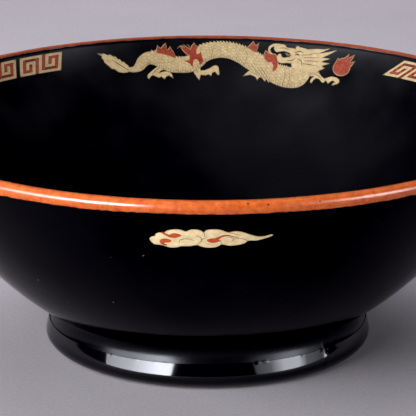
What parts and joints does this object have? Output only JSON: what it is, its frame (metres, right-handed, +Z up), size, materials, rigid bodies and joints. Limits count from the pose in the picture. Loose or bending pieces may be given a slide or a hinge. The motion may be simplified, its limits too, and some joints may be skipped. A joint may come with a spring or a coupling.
{
  "type": "footed noodle bowl",
  "caption": "Wide footed noodle bowl in black glazed stoneware, orange glazed rim, gold and red dragon, key fret and cloud decoration.",
  "frame": {"origin": "centre of the foot ring's contact plane, on the table", "axes": "+Z up along the bowl's axis; +Y towards the middle of the first dragon, -Y towards the first cloud"},
  "size_m": [0.21, 0.21, 0.0778],
  "materials": {
    "black_glaze": "glossy black glaze",
    "foot_glaze": "glossy black glaze, bare clay on the standing ring",
    "orange_glaze": "glossy orange iron glaze",
    "gold_enamel": "satin gold overglaze enamel",
    "cream_enamel": "satin cream gold overglaze enamel",
    "red_enamel": "satin red overglaze enamel"
  },
  "bodies": {
    "root": {"bowl_body": "black_glaze", "foot_ring": "foot_glaze", "rim_band": "orange_glaze", "dragon_gold_front": "gold_enamel", "dragon_gold_back": "gold_enamel", "dragon_flames_front": "red_enamel", "dragon_flames_back": "red_enamel", "pearl_front": "red_enamel", "pearl_back": "red_enamel", "fret_panels_gold": "gold_enamel", "fret_lines_red": "red_enamel", "clouds_gold": "cream_enamel", "cloud_curls_red": "red_enamel"}
  },
  "joints": []
}
